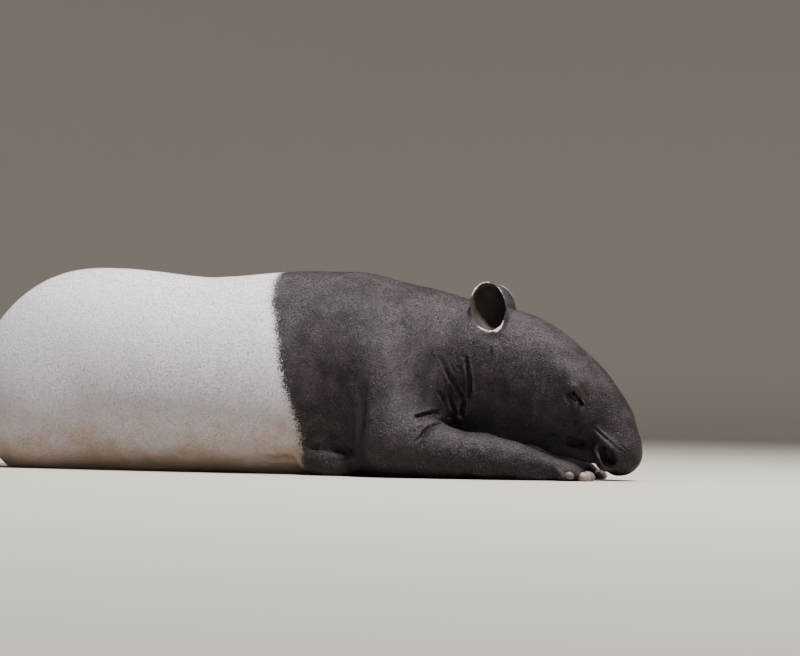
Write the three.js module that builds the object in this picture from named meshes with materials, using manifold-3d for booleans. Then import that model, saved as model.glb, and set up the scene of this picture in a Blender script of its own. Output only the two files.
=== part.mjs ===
// A Malayan tapir asleep on its chest, at life size: the forelegs stretched out beside the lowered
// head, the hips rolled on to its right side and the hind legs put out to its left.
// Millimetres. +X runs towards the nose, +Y to the animal's left and +Z up, with the floor at Z = 0.
import * as THREE from "three";
import Module from "manifold-3d";

const wasm = await Module();
wasm.setup();

// Driving dimensions of the lying animal
const backHeight = 503;
const rumpEndX = -1100;
const hipX = -700;
const witherX = -235;
const trunkHalfWidth = 236;
const earWall = 5;
const partingGap = 0.3;
const seatGap = partingGap * 1.5;
const jointBlend = 24;

// The head has a frame of its own: s runs from the poll to the nose and t towards the forehead
const pollX = 250;
const pollZ = 300;
const headPitch = THREE.MathUtils.degToRad(36.3);

// Coat and horn colours
const black = { color: 0x1b1b20, roughness: 0.62 };
const white = { color: 0xb9b8bd, roughness: 0.7 };
const horn = { color: 0x8d8078, roughness: 0.5 };

// Fields: each form is a function of x, y and z that gives the distance to its skin, below 0 inside

function blend(size, ...forms) {
  return (x, y, z) => {
    let nearest = forms[0](x, y, z);
    for (let i = 1; i < forms.length; i++) {
      const other = forms[i](x, y, z);
      const overlap = Math.max(size - Math.abs(nearest - other), 0) / size;
      nearest = Math.min(nearest, other) - (overlap * overlap * size) / 4;
    }
    return nearest;
  };
}

function hollowed(size, form, ...tools) {
  const filled = blend(size, ...tools);
  return (x, y, z) => {
    const body = form(x, y, z);
    const away = -filled(x, y, z);
    const overlap = Math.max(size - Math.abs(body - away), 0) / size;
    return Math.max(body, away) + (overlap * overlap * size) / 4;
  };
}

// An ellipsoid whose first axis points along X, then is pitched nose down, turned left and rolled
function ellipsoid(centre, radii, { pitch = 0, turn = 0, roll = 0 } = {}) {
  const [rx, ry, rz] = radii;
  const angles = [roll, pitch, turn].map(THREE.MathUtils.degToRad);
  const m = new THREE.Matrix4()
    .makeRotationFromEuler(new THREE.Euler(...angles, "ZYX"))
    .setPosition(...centre)
    .invert().elements;
  return (x, y, z) => {
    const a = (m[0] * x + m[4] * y + m[8] * z + m[12]) / rx;
    const b = (m[1] * x + m[5] * y + m[9] * z + m[13]) / ry;
    const c = (m[2] * x + m[6] * y + m[10] * z + m[14]) / rz;
    const size = Math.hypot(a, b, c);
    const slope = Math.hypot(a / rx, b / ry, c / rz);
    return slope < 1e-9 ? -Math.min(rx, ry, rz) : (size * (size - 1)) / slope;
  };
}

// A limb through joints of [x, y, z, radius]
function limb(joints) {
  const bones = joints.slice(1).map((end, i) => {
    const start = joints[i];
    const run = [0, 1, 2].map((k) => end[k] - start[k]);
    return { start, run, taper: end[3] - start[3], length2: run[0] ** 2 + run[1] ** 2 + run[2] ** 2 };
  });
  return (x, y, z) => {
    let nearest = Infinity;
    for (const { start, run, taper, length2 } of bones) {
      const dx = x - start[0];
      const dy = y - start[1];
      const dz = z - start[2];
      const t = THREE.MathUtils.clamp((dx * run[0] + dy * run[1] + dz * run[2]) / length2, 0, 1);
      const distance = Math.hypot(dx - t * run[0], dy - t * run[1], dz - t * run[2]) - start[3] - t * taper;
      const overlap = Math.max(jointBlend - Math.abs(nearest - distance), 0) / jointBlend;
      const filled = Number.isFinite(nearest) ? (overlap * overlap * jointBlend) / 4 : 0;
      nearest = Math.min(nearest, distance) - filled;
    }
    return nearest;
  };
}

// A smooth curve through [place, value] pairs, as a function of the place
function profile(pairs) {
  const points = new THREE.SplineCurve(pairs.map(([s, v]) => new THREE.Vector2(s, v))).getPoints(300);
  return (s) => {
    let low = 0;
    let high = points.length - 1;
    if (s <= points[low].x) return points[low].y;
    if (s >= points[high].x) return points[high].y;
    while (high - low > 1) {
      const middle = (low + high) >> 1;
      if (points[middle].x <= s) low = middle;
      else high = middle;
    }
    const share = (s - points[low].x) / (points[high].x - points[low].x || 1);
    return points[low].y + share * (points[high].y - points[low].y);
  };
}

// The head frame
const along = [Math.cos(headPitch), 0, -Math.sin(headPitch)];
const across = [Math.sin(headPitch), 0, Math.cos(headPitch)];
const onHead = (s, t, y) => [
  pollX + s * along[0] + t * across[0],
  y,
  pollZ + s * along[2] + t * across[2],
];
const headS = (x, z) => (x - pollX) * along[0] + (z - pollZ) * along[2];
const headT = (x, z) => (x - pollX) * across[0] + (z - pollZ) * across[2];

// A head lofted from stations of [s, top, low, half width] in the head frame, squarer than an ellipse
function headLoft(stations, squareness) {
  const [top, low, half] = [1, 2, 3].map((k) => profile(stations.map((row) => [row[0], row[k]])));
  const start = stations[0][0];
  const end = stations.at(-1)[0];
  return (x, y, z) => {
    const s = headS(x, z);
    const t = headT(x, z);
    const inside = THREE.MathUtils.clamp(s, start, end);
    const middle = (top(inside) + low(inside)) / 2;
    const height = (top(inside) - low(inside)) / 2;
    const width = half(inside);
    const sideways = Math.abs(y / width) ** squareness;
    const upwards = Math.abs((t - middle) / height) ** squareness;
    const reach = (sideways + upwards) ** (1 / squareness);
    const ring = reach < 1e-6 ? -Math.min(width, height) : Math.hypot(y, t - middle) * (1 - 1 / reach);
    const past = Math.abs(s - inside);
    return past > 0 ? Math.hypot(Math.max(ring, 0), past) : ring;
  };
}

// A plane through a point, with the direction of its front side
const plane = (point, direction) => {
  const normal = new THREE.Vector3(...direction).normalize().toArray();
  return { normal, offset: normal.reduce((sum, n, d) => sum + n * point[d], 0) };
};

// Trunk, from the rump to the brisket, with the hips a little to the side that they lie on
const trunk = blend(
  80,
  ellipsoid([hipX, -14, 228], [hipX - rumpEndX, 214, backHeight - 228]),
  ellipsoid([-455, -4, 212], [400, trunkHalfWidth, 236]),
  ellipsoid([witherX, 0, 236], [395, 206, backHeight - 238]),
);
const brisket = ellipsoid([20, 0, 140], [130, 140, 150]);
const elbowFold = ellipsoid([-115, -172, 28], [84, 50, 40], { pitch: 4 });
const shoulders = [-1, 1].map((side) => ellipsoid([-55, side * 122, 225], [185, 92, 205], { pitch: 12 }));
const upperArms = [-1, 1].map((side) => limb([[-10, side * 140, 250, 96], [48, side * 186, 92, 84]]));
const neckCore = limb([[-80, 0, 318, 172], [60, 0, 304, 152], [160, 0, 288, 140], [270, 0, 268, 128]]);
const neck = (x, y, z) => neckCore(x, y * 1.14, z) * 0.92;
const throat = ellipsoid([195, 0, 160], [150, 98, 96], { pitch: 14 });

// Haunches: the left thigh lies uppermost, drawn up on the far side, and the right one is under it
const leftThigh = limb([[-830, 20, 300, 176], [-710, 120, 244, 154], [-600, 196, 158, 92]]);
const rightButtock = ellipsoid([-905, -70, 150], [165, 130, 165]);
const haunches = blend(90, trunk, leftThigh, rightButtock);

// Forelegs, from the elbow to the wrist
const forearmJoints = {
  right: [
    [48, -190, 80, 80],
    [150, -188, 60, 62],
    [256, -174, 53, 52],
    [330, -158, 43, 42],
    [378, -144, 33, 33],
    [419, -132, 26, 28],
  ],
  left: [
    [48, 190, 80, 80],
    [140, 190, 60, 62],
    [236, 180, 53, 52],
    [306, 164, 43, 42],
    [364, 146, 33, 33],
    [410, 130, 26, 28],
  ],
};
const forearms = { right: limb(forearmJoints.right), left: limb(forearmJoints.left) };

// Hind legs below the knee, both put out to the left
const shankJoints = {
  left: [[-600, 206, 150, 84], [-680, 276, 96, 54], [-745, 328, 54, 40]],
  right: [[-600, 60, 56, 58], [-480, 150, 46, 44], [-415, 214, 38, 36]],
};
const metatarsusJoints = {
  left: [[-745, 328, 48, 38], [-675, 342, 36, 31], [-610, 350, 27, 28]],
  right: [[-415, 214, 38, 35], [-370, 242, 32, 30], [-335, 264, 27, 28]],
};
const shanks = { right: limb(shankJoints.right), left: limb(shankJoints.left) };

// Toes of [outwards, forwards, radius] from the middle of the wrist or the end of the metatarsus
const foreToes = [[-30, 62, 13], [-4, 78, 15], [24, 66, 14], [41, 30, 10]];
const hindToes = [[-27, 62, 14], [0, 78, 16], [27, 62, 14]];
const feet = [
  { name: "forefoot_right", joints: forearmJoints.right, heading: 17, outer: -1, toes: foreToes },
  { name: "forefoot_left", joints: forearmJoints.left, heading: -17, outer: 1, toes: foreToes },
  { name: "hindfoot_left", joints: metatarsusJoints.left, heading: 6, outer: 1, toes: hindToes },
  { name: "hindfoot_right", joints: metatarsusJoints.right, heading: 34, outer: -1, toes: hindToes },
];
const tailForm = limb([[-1070, -46, 268, 30], [-1106, -54, 214, 20], [-1118, -58, 160, 9]]);

// Head
const headShape = headLoft(
  [
    [-90, 70, -70, 62],
    [-33, 106, -100, 84],
    [56, 134, -112, 98],
    [120, 137, -104, 101],
    [167, 134, -90, 96],
    [230, 125, -60, 81],
    [291, 108, -40, 65],
    [330, 93, -40, 56],
    [360, 76, -45, 51],
    [389, 44, -46, 42],
  ],
  2.25,
);
const noseTip = ellipsoid(onHead(382, -11, 0), [54, 47, 54], { pitch: 50 });
const face = blend(36, headShape, noseTip);
const jawCore = limb([
  [...onHead(20, -84, 0), 72],
  [...onHead(105, -88, 0), 67],
  [400, 0, 94, 34],
  [476, 0, 66, 28],
]);
const jaw = (x, y, z) => jawCore(x, y * 0.85, z) * 0.95;
const sides = [-1, 1];
const cheeks = sides.map((side) => ellipsoid(onHead(98, -45, side * 58), [88, 42, 80], { pitch: 36 }));
const bareSkull = blend(24, blend(40, face, ...cheeks), jaw);

// The point of a form's side at x and z, sunk by a depth
function onSide(form, x, z, side, depth = 0) {
  let inner = 0;
  let outer = 200;
  for (let halving = 0; halving < 16; halving++) {
    const y = (inner + outer) / 2;
    if (form(x, side * y, z) < 0) inner = y;
    else outer = y;
  }
  return [x, side * (inner - depth), z];
}
const onCheek = (form, s, t, side, depth = 0) => {
  const [x, , z] = onHead(s, t, 0);
  return onSide(form, x, z, side, depth);
};
// A cord of rounds laid along the side of the head through rows of [s, t, radius]
const cordOnCheek = (form, rows, side, depth) =>
  limb(rows.map(([s, t, radius]) => [...onCheek(form, s, t, side, depth), radius]));

// Eyelids: a low dome with the line where the lids meet, under a full brow
const lidLine = [[200, 46, 1.8], [220, 46, 2], [238, 39, 2], [255, 29, 1.8]];
const eyes = sides.map((side) => {
  const middle = onCheek(bareSkull, 228, 37, side, 5);
  const dome = ellipsoid(middle, [28, 11, 15], { pitch: 50, turn: -13 * side });
  return { side, middle, dome, line: cordOnCheek(blend(1, bareSkull, dome), lidLine, side, 0) };
});
const browPitch = { pitch: 48 };
const brows = sides.map((side) => ellipsoid(onCheek(bareSkull, 194, 64, side, 18), [40, 22, 24], browPitch));
const lowerLidFolds = sides.map((side) =>
  ellipsoid(onCheek(bareSkull, 224, 14, side, 13), [38, 16, 16], browPitch),
);

// Muzzle: a ridge over each nostril, the nostril, a rim below it and the lips
const ridgeLine = [[312, 2, 7], [338, -4, 9], [364, -9, 9], [390, -14, 7]];
const nostrilLine = [[343, -22, 4], [360, -27, 8], [375, -33, 7.5], [385, -37, 5]];
const nostrilRidges = sides.map((side) => cordOnCheek(face, ridgeLine, side, 3));
const nostrils = sides.map((side) => cordOnCheek(face, nostrilLine, side, -1));
const nostrilRims = sides.map((side) =>
  limb([
    [...onHead(328, -24, side * 51), 7],
    [...onHead(348, -42, side * 46), 9],
    [...onHead(368, -55, side * 39), 10],
    [...onHead(388, -54, side * 36), 8],
  ]),
);
const mouthLine = [[420, 97], [440, 91], [462, 87], [492, 83]];
const lipLine = (side, rise, depth, radius) =>
  limb(mouthLine.map(([x, z]) => [...onSide(bareSkull, x, z + rise, side, depth), radius]));
const upperLips = sides.map((side) => lipLine(side, 11, 7, 10));
const lowerLips = sides.map((side) => lipLine(side, -11, 7, 9));
const mouthCreases = sides.map((side) => lipLine(side, 0, -3, 4.5));
const browed = blend(22, bareSkull, ...brows, ...lowerLidFolds);
const lipped = blend(10, browed, ...nostrilRidges, ...nostrilRims, ...upperLips, ...lowerLips);
const skull = hollowed(4, lipped, ...nostrils, ...mouthCreases);

// Ears: cups with a thick wall, open to the side, on a root that goes into the head
const ears = [[-1, 240], [1, 229]].map(([side, x]) => {
  const middle = [x, side * 80, 406];
  const lean = { pitch: -8, roll: side * -6 };
  const cup = ellipsoid(middle, [46, 42, 67], lean);
  const inside = [46, 42, 67].map((radius) => radius - earWall);
  const hollow = ellipsoid([x + 1, side * 83, 408], inside, lean);
  const root = limb([[x + 24, side * 72, 360, 22], [x + 38, side * 62, 336, 24]]);
  const box = [[x - 58, side * 76 - 60, 290], [x + 80, side * 76 + 60, 490]];
  const rim = plane([x, side * 91, 402], [0.06, side, 0.12]);
  return { side, box, full: blend(14, cup, root), hollow, rim };
});

// A skin over a field: one point in each cell that the surface crosses, evened out and set on the surface
function skin(field, [low, high], cell) {
  const count = low.map((l, k) => Math.ceil((high[k] - l) / cell) + 1);
  const [nx, ny, nz] = count;
  const at = (i, j, k) => i + nx * (j + ny * k);
  const value = new Float32Array(nx * ny * nz);
  for (let k = 0; k < nz; k++)
    for (let j = 0; j < ny; j++)
      for (let i = 0; i < nx; i++) {
        const edge = Math.min(i, j, k, nx - 1 - i, ny - 1 - j, nz - 1 - k) === 0;
        const distance = field(low[0] + i * cell, low[1] + j * cell, low[2] + k * cell);
        value[at(i, j, k)] = edge ? Math.max(distance, cell / 2) : distance;
      }
  const points = [];
  const cellPoint = new Int32Array(nx * ny * nz).fill(-1);
  const corners = [0, 1, 2, 3, 4, 5, 6, 7].map((c) => [c & 1, (c >> 1) & 1, c >> 2]);
  const edges = [];
  corners.forEach((a, ia) =>
    corners.slice(ia + 1).forEach((b) => {
      if (a.reduce((apart, n, d) => apart + Math.abs(n - b[d]), 0) === 1) edges.push([a, b]);
    }),
  );
  for (let k = 0; k < nz - 1; k++)
    for (let j = 0; j < ny - 1; j++)
      for (let i = 0; i < nx - 1; i++) {
        const middle = [0, 0, 0];
        let crossings = 0;
        for (const [a, b] of edges) {
          const va = value[at(i + a[0], j + a[1], k + a[2])];
          const vb = value[at(i + b[0], j + b[1], k + b[2])];
          if (va < 0 === vb < 0) continue;
          const share = va / (va - vb);
          for (let d = 0; d < 3; d++) middle[d] += a[d] + share * (b[d] - a[d]);
          crossings++;
        }
        if (!crossings) continue;
        cellPoint[at(i, j, k)] = points.length;
        points.push([i, j, k].map((n, d) => low[d] + cell * (n + middle[d] / crossings)));
      }
  const faces = [];
  const step = [1, nx, nx * ny];
  for (let k = 0; k < nz - 1; k++)
    for (let j = 0; j < ny - 1; j++)
      for (let i = 0; i < nx - 1; i++)
        for (let d = 0; d < 3; d++) {
          const here = at(i, j, k);
          const inside = value[here] < 0;
          if (inside === value[here + step[d]] < 0) continue;
          const u = step[(d + 1) % 3];
          const v = step[(d + 2) % 3];
          const ring = [here - u - v, here - v, here, here - u].map((n) => cellPoint[n]);
          if (!inside) ring.reverse();
          faces.push([ring[0], ring[1], ring[2]], [ring[0], ring[2], ring[3]]);
        }
  settle(points, faces, field, cell, 4);
  return { points, faces };
}

// Moves each point towards the middle of its neighbours, then back on to the surface
function settle(points, faces, field, reach, rounds, evenness = 0.5) {
  const around = points.map(() => new Set());
  for (const [a, b, c] of faces) {
    around[a].add(b).add(c);
    around[b].add(c).add(a);
    around[c].add(a).add(b);
  }
  const h = reach / 20;
  for (let round = 0; round < rounds; round++) {
    const moved = points.map((p, i) => {
      const next = [0, 0, 0];
      for (const n of around[i]) for (let d = 0; d < 3; d++) next[d] += points[n][d] / around[i].size;
      for (let d = 0; d < 3; d++) next[d] = p[d] + evenness * (next[d] - p[d]);
      const f = field(...next);
      const slope = [0, 1, 2].map((d) => {
        const ahead = [...next];
        ahead[d] += h;
        return (field(...ahead) - f) / h;
      });
      const steep = slope[0] ** 2 + slope[1] ** 2 + slope[2] ** 2;
      const move = THREE.MathUtils.clamp(f / Math.max(steep, 0.2), -reach / 3, reach / 3);
      return next.map((n, d) => n - move * slope[d]);
    });
    moved.forEach((p, i) => (points[i] = p));
  }
}

// Thins a closed mesh to about the number of faces asked for, closing the edges that matter least
function thin({ points, faces }, wanted) {
  const normalOf = ([a, b, c]) => {
    const u = b.map((n, d) => n - a[d]);
    const v = c.map((n, d) => n - a[d]);
    return [u[1] * v[2] - u[2] * v[1], u[2] * v[0] - u[0] * v[2], u[0] * v[1] - u[1] * v[0]];
  };
  const quadrics = points.map(() => new Float64Array(10));
  const touching = points.map(() => new Set());
  faces.forEach((face, f) => {
    const n = normalOf(face.map((i) => points[i]));
    const size = Math.hypot(...n) || 1e-12;
    const [a, b, c] = n.map((m) => m / size);
    const d = -(a * points[face[0]][0] + b * points[face[0]][1] + c * points[face[0]][2]);
    const plane = [a * a, a * b, a * c, a * d, b * b, b * c, b * d, c * c, c * d, d * d];
    for (const i of face) {
      touching[i].add(f);
      plane.forEach((q, k) => (quadrics[i][k] += q * size));
    }
  });
  const costAt = (q, [x, y, z]) =>
    q[0] * x * x + 2 * q[1] * x * y + 2 * q[2] * x * z + 2 * q[3] * x + q[4] * y * y +
    2 * q[5] * y * z + 2 * q[6] * y + q[7] * z * z + 2 * q[8] * z + q[9];
  const version = new Int32Array(points.length);
  const heap = [];
  const swap = (i, j) => ([heap[i], heap[j]] = [heap[j], heap[i]]);
  function push(entry) {
    heap.push(entry);
    for (let i = heap.length - 1, above; i > 0; i = above) {
      above = (i - 1) >> 1;
      if (heap[i].cost >= heap[above].cost) break;
      swap(i, above);
    }
  }
  function pop() {
    swap(0, heap.length - 1);
    const first = heap.pop();
    for (let i = 0; ; ) {
      const left = 2 * i + 1;
      if (left >= heap.length) break;
      const least = left + 1 < heap.length && heap[left + 1].cost < heap[left].cost ? left + 1 : left;
      if (heap[i].cost <= heap[least].cost) break;
      swap(i, least);
      i = least;
    }
    return first;
  }
  function offer(a, b) {
    const q = quadrics[a].map((n, k) => n + quadrics[b][k]);
    const m = new THREE.Matrix3().set(q[0], q[1], q[2], q[1], q[4], q[5], q[2], q[5], q[7]);
    let place = points[a].map((n, d) => (n + points[b][d]) / 2);
    const length = Math.hypot(...points[a].map((n, d) => n - points[b][d]));
    if (Math.abs(m.determinant()) > 1e-3 * (q[0] + q[4] + q[7]) ** 3) {
      const best = new THREE.Vector3(-q[3], -q[6], -q[8]).applyMatrix3(m.invert()).toArray();
      if (Math.hypot(...best.map((n, d) => n - place[d])) < length) place = best;
    }
    push({ cost: costAt(q, place) + 1e-4 * length ** 3, a, b, place, stamp: version[a] + version[b] });
  }
  const neighbours = (i) => {
    const found = new Set();
    for (const f of touching[i]) for (const n of faces[f]) if (n !== i) found.add(n);
    return found;
  };
  points.forEach((_, i) => {
    for (const n of neighbours(i)) if (n > i) offer(i, n);
  });
  let left = faces.length;
  while (left > wanted && heap.length) {
    const { a, b, place, stamp } = pop();
    if (!touching[a].size || !touching[b].size || stamp !== version[a] + version[b]) continue;
    const nearB = neighbours(b);
    if ([...neighbours(a)].filter((n) => nearB.has(n)).length !== 2) continue;
    const turnsOver = [a, b].some((end) =>
      [...touching[end]].some((f) => {
        if (faces[f].includes(a) && faces[f].includes(b)) return false;
        const before = normalOf(faces[f].map((i) => points[i]));
        const after = normalOf(faces[f].map((i) => (i === end ? place : points[i])));
        const dot = before[0] * after[0] + before[1] * after[1] + before[2] * after[2];
        return dot < 0.3 * Math.hypot(...before) * Math.hypot(...after);
      }),
    );
    if (turnsOver) continue;
    points[a] = place;
    quadrics[a] = quadrics[a].map((n, k) => n + quadrics[b][k]);
    for (const f of touching[b]) {
      if (faces[f].includes(a)) {
        for (const n of faces[f]) if (n !== b) touching[n].delete(f);
        faces[f] = null;
        left--;
      } else {
        faces[f] = faces[f].map((n) => (n === b ? a : n));
        touching[a].add(f);
      }
    }
    touching[b].clear();
    for (const n of neighbours(a)) {
      version[n]++;
    }
    version[a]++;
    for (const n of neighbours(a)) {
      offer(a, n);
      for (const m of neighbours(n)) if (m !== a && m > n) offer(n, m);
    }
  }
  const kept = new Map();
  const outFaces = faces.filter(Boolean).map((face) =>
    face.map((i) => {
      if (!kept.has(i)) kept.set(i, kept.size);
      return kept.get(i);
    }),
  );
  return { points: [...kept.keys()].map((i) => points[i]), faces: outFaces };
}

function solidOf({ points, faces }) {
  return new wasm.Manifold(
    new wasm.Mesh({
      numProp: 3,
      vertProperties: Float32Array.from(points.flat()),
      triVerts: Uint32Array.from(faces.flat()),
    }),
  );
}

// The largest closed surface of a solid
function largest(solid) {
  return solid.decompose().reduce((best, s) => (s.volume() > best.volume() ? s : best));
}

// Parting planes
const inFrontOf = ({ normal, offset }) => ({ normal, offset: offset + partingGap / 2 });
const behind = ({ normal, offset }) => ({ normal: normal.map((n) => -n), offset: -offset + partingGap / 2 });
const floor = { normal: [0, 0, 1], offset: 0 };
const saddleFront = plane([-262, 0, 250], [1, 0, 0.05]);
const loinPart = plane([-640, 0, 250], [1, 0, 0]);
const neckRoot = plane([50, 0, 286], [0.936, 0, 0.353]);
const headRoot = plane([203, 0, 260], [0.99, 0, -0.1]);
const armParts = {
  right: plane([150, -125, 95], [0, -0.75, -0.66]),
  left: plane([150, 125, 95], [0, 0.75, -0.66]),
};
const snoutPart = plane(onHead(301, 0, 0), along);
const mouthPart = plane([420, 0, 97], [0.19, 0, 1]);
const jawRear = plane([388, 0, 100], [1, 0, 0]);
const jawFront = plane([500, 0, 80], [1, 0, -0.2]);
const thighPart = plane([-760, 150, 250], [0.35, 1, -0.35]);
const stiflePart = plane([-470, 150, 100], [1, 0.2, 0]);

// A block from a low corner to a high one
function block(low, high) {
  const ends = [low, high];
  const points = [0, 1, 2, 3, 4, 5, 6, 7].map((c) => [ends[c & 1][0], ends[(c >> 1) & 1][1], ends[c >> 2][2]]);
  const squares = [[0, 2, 3, 1], [4, 5, 7, 6], [0, 1, 5, 4], [2, 6, 7, 3], [0, 4, 6, 2], [1, 3, 7, 5]];
  return solidOf({ points, faces: squares.flatMap(([a, b, c, d]) => [[a, b, c], [a, c, d]]) });
}

// A solid with its skin moved outwards, to cut a seat for it
function grown(solid, gap) {
  const { vertProperties, triVerts, numProp } = solid.getMesh();
  const points = [];
  for (let i = 0; i < vertProperties.length; i += numProp)
    points.push(Array.from(vertProperties.subarray(i, i + 3)));
  const outward = points.map(() => new THREE.Vector3());
  const faces = [];
  for (let i = 0; i < triVerts.length; i += 3) {
    const face = Array.from(triVerts.subarray(i, i + 3));
    const [a, b, c] = face.map((n) => new THREE.Vector3(...points[n]));
    const normal = b.clone().sub(a).cross(c.clone().sub(a)).normalize();
    const corners = [a, b, c];
    face.forEach((n, k) => {
      const before = corners[(k + 2) % 3].clone().sub(corners[k]);
      const after = corners[(k + 1) % 3].clone().sub(corners[k]);
      outward[n].addScaledVector(normal, after.angleTo(before) || 0);
    });
    faces.push(face);
  }
  const moved = points.map((p, i) => outward[i].setLength(gap).add(new THREE.Vector3(...p)).toArray());
  return solidOf({ points: moved, faces });
}

const tapir = new THREE.Group();

// Makes a solid: the skin of a field inside a box, thinned, cut by planes and by the solids it makes room for
function carve(field, box, cell, faceCount, planes = [], seats = []) {
  const mesh = thin(skin(field, box, cell), faceCount);
  settle(mesh.points, mesh.faces, field, cell, 2, 0);
  let solid = solidOf(mesh);
  for (const { normal, offset } of planes) solid = solid.trimByPlane(normal, offset);
  for (const seat of seats) solid = solid.subtract(seat);
  return largest(solid);
}

function addNode(name, finish, solid) {
  const { vertProperties, triVerts, numProp } = solid.getMesh();
  const positions = new Float32Array((vertProperties.length / numProp) * 3);
  for (let i = 0; i < positions.length / 3; i++)
    positions.set(vertProperties.subarray(i * numProp, i * numProp + 3), i * 3);
  const geometry = new THREE.BufferGeometry()
    .setAttribute("position", new THREE.BufferAttribute(positions, 3))
    .setIndex(new THREE.BufferAttribute(triVerts, 1));
  geometry.computeVertexNormals();
  const node = new THREE.Mesh(geometry, new THREE.MeshStandardMaterial({ metalness: 0, ...finish }));
  node.name = name;
  tapir.add(node);
}

// How far below the floor and to the sides the boxes that are searched for a skin reach
const under = -40;
const far = 700;
const boxAround = (middle, reach) => [middle.map((n) => n - reach), middle.map((n) => n + reach)];

// Trunk and neck
const arms = [...upperArms, forearms.right, forearms.left];
const body = blend(50, haunches, ...shoulders, brisket, elbowFold, ...arms);
const pastThigh = block([-1300, -far, -far], [0, far, far]);
const thighSeat = [behind(stiflePart), inFrontOf(thighPart)].reduce(
  (solid, { normal, offset }) => solid.trimByPlane(normal, offset - partingGap),
  pastThigh,
);
const rumpBox = [[-1180, -320, under], [-600, 340, 560]];
const barrelBox = [[-690, -320, under], [-210, 340, 560]];
const thighBox = [[-1100, 0, under], [-420, 340, 480]];
const chestBox = [[-310, -330, under], [260, 330, 560]];
const barrelEnds = [inFrontOf(loinPart), behind(saddleFront)];
const rump = carve(haunches, rumpBox, 24, 1150, [floor, behind(loinPart)], [thighSeat]);
const barrel = carve(body, barrelBox, 24, 1000, [floor, ...barrelEnds], [thighSeat]);
const thighLeft = carve(haunches, thighBox, 22, 520, [floor, inFrontOf(thighPart), behind(stiflePart)]);
const bodyAndNeck = blend(45, body, neck, throat);
const chest = carve(bodyAndNeck, chestBox, 18, 2300, [floor, inFrontOf(saddleFront), behind(neckRoot)]);
addNode("rump", white, rump);
addNode("barrel", white, barrel);
addNode("thigh_left", white, thighLeft);
addNode("chest", black, chest);

// Forelegs
const forelegBox = [[0, -290, under], [560, 290, 240]];
for (const side of ["right", "left"]) {
  const wrist = plane(forearmJoints[side].at(-1), [0.956, side === "right" ? 0.292 : -0.292, 0]);
  const planes = [floor, inFrontOf(neckRoot), inFrontOf(armParts[side]), behind(wrist)];
  addNode("foreleg_" + side, black, carve(bodyAndNeck, forelegBox, 10, 1300, planes));
}

// Feet and hooves
for (const { name, joints, heading, outer, toes } of feet) {
  const root = joints.at(-1);
  const turn = THREE.MathUtils.degToRad(heading);
  const place = (outwards, forwards, z) => [
    root[0] + forwards * Math.cos(turn) - outer * outwards * Math.sin(turn),
    root[1] + forwards * Math.sin(turn) + outer * outwards * Math.cos(turn),
    z,
  ];
  const pad = ellipsoid(place(2, 22, 22), [36, 31, 25], { turn: heading });
  const toeForms = toes.map(([outwards, forwards, r]) => {
    const knuckle = place(outwards * 0.5, forwards - 44, 24);
    return limb([[...knuckle, r + 4], [...place(outwards, forwards - 4, r - 4), r - 2]]);
  });
  const hooves = toes.map(([outwards, forwards, r]) => {
    const centre = place(outwards, forwards, r < 12 ? r + 3 : r - 6);
    const pointing = { turn: heading - outer * outwards * 0.2, pitch: 14 };
    const shape = ellipsoid(centre, [r * 1.25, r * 0.92, r], pointing);
    return carve(shape, boxAround(centre, r * 1.6), r / 4, 72, [floor]);
  });
  const isFore = name.startsWith("fore");
  const rootPlane = plane(root.slice(0, 3), [Math.cos(turn), Math.sin(turn), 0]);
  const planes = isFore ? [floor, inFrontOf(rootPlane)] : [floor];
  const seats = hooves.map((hoof) => grown(hoof, seatGap));
  if (!isFore) {
    const side = name.split("_")[1];
    const knee = carve(shanks[side], boxAround(shankJoints[side][1].slice(0, 3), 230), 12, 420, [floor], [
      grown(side === "left" ? thighLeft : barrel, seatGap),
      grown(side === "left" ? barrel : thighLeft, seatGap),
      grown(rump, seatGap),
    ]);
    addNode("shank_" + side, black, knee);
    seats.push(grown(knee, seatGap));
    seats.push(grown(barrel, seatGap));
  }
  const form = blend(10, limb(joints), pad, ...toeForms);
  const box = boxAround(place(0, -20, 30), isFore ? 130 : 230);
  const foot = carve(form, box, isFore ? 5 : 6, 640, planes, seats);
  addNode(name, black, foot);
  hooves.forEach((hoof, i) => addNode(name.replace("foot", "hoof") + "_" + (i + 1), horn, hoof));
}
const tailBox = [[-1180, -120, 100], [-1000, 20, 340]];
addNode("tail", white, carve(tailForm, tailBox, 8, 160, [], [grown(rump, seatGap)]));

// Head, snout, lower jaw, eyes and ears
const sideName = (side) => (side < 0 ? "right" : "left");
const eyeSeats = eyes.map(({ side, middle, dome, line }) => {
  const box = boxAround(middle, 40);
  const lids = carve(dome, box, 3, 130);
  addNode("eye_" + sideName(side), black, largest(lids.subtract(carve(line, box, 1.5, 90))));
  return grown(lids, seatGap);
});
const earSeats = ears.map(({ side, box, full, hollow, rim }) => {
  const outer = carve(full, box, 4, 260, [behind(rim)]);
  addNode("ear_" + sideName(side), black, largest(outer.subtract(carve(hollow, box, 4, 220))));
  return grown(outer, seatGap);
});
const aboveArms = [behind(armParts.right), behind(armParts.left)];
const neckSolid = carve(
  blend(30, bodyAndNeck, bareSkull),
  [[-60, -280, under], [300, 280, 560]],
  14,
  1500,
  [floor, inFrontOf(neckRoot), behind(headRoot), ...aboveArms],
  earSeats,
);
addNode("neck", black, neckSolid);
const withoutJaw = [behind(jawFront), inFrontOf(jawRear), behind(mouthPart)].reduce(
  (solid, { normal, offset }) => solid.trimByPlane(normal, offset - partingGap),
  block([-far, -far, -far], [far, far, far]),
);
const headField = blend(30, blend(45, neck, throat), skull);
const headSolid = carve(
  headField,
  [[150, -180, under], [560, 180, 480]],
  7,
  3300,
  [floor, inFrontOf(headRoot), behind(snoutPart), ...aboveArms],
  [withoutJaw, ...eyeSeats, ...earSeats],
);
addNode("head", black, headSolid);
const snoutBox = [[430, -90, under], [640, 90, 260]];
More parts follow.
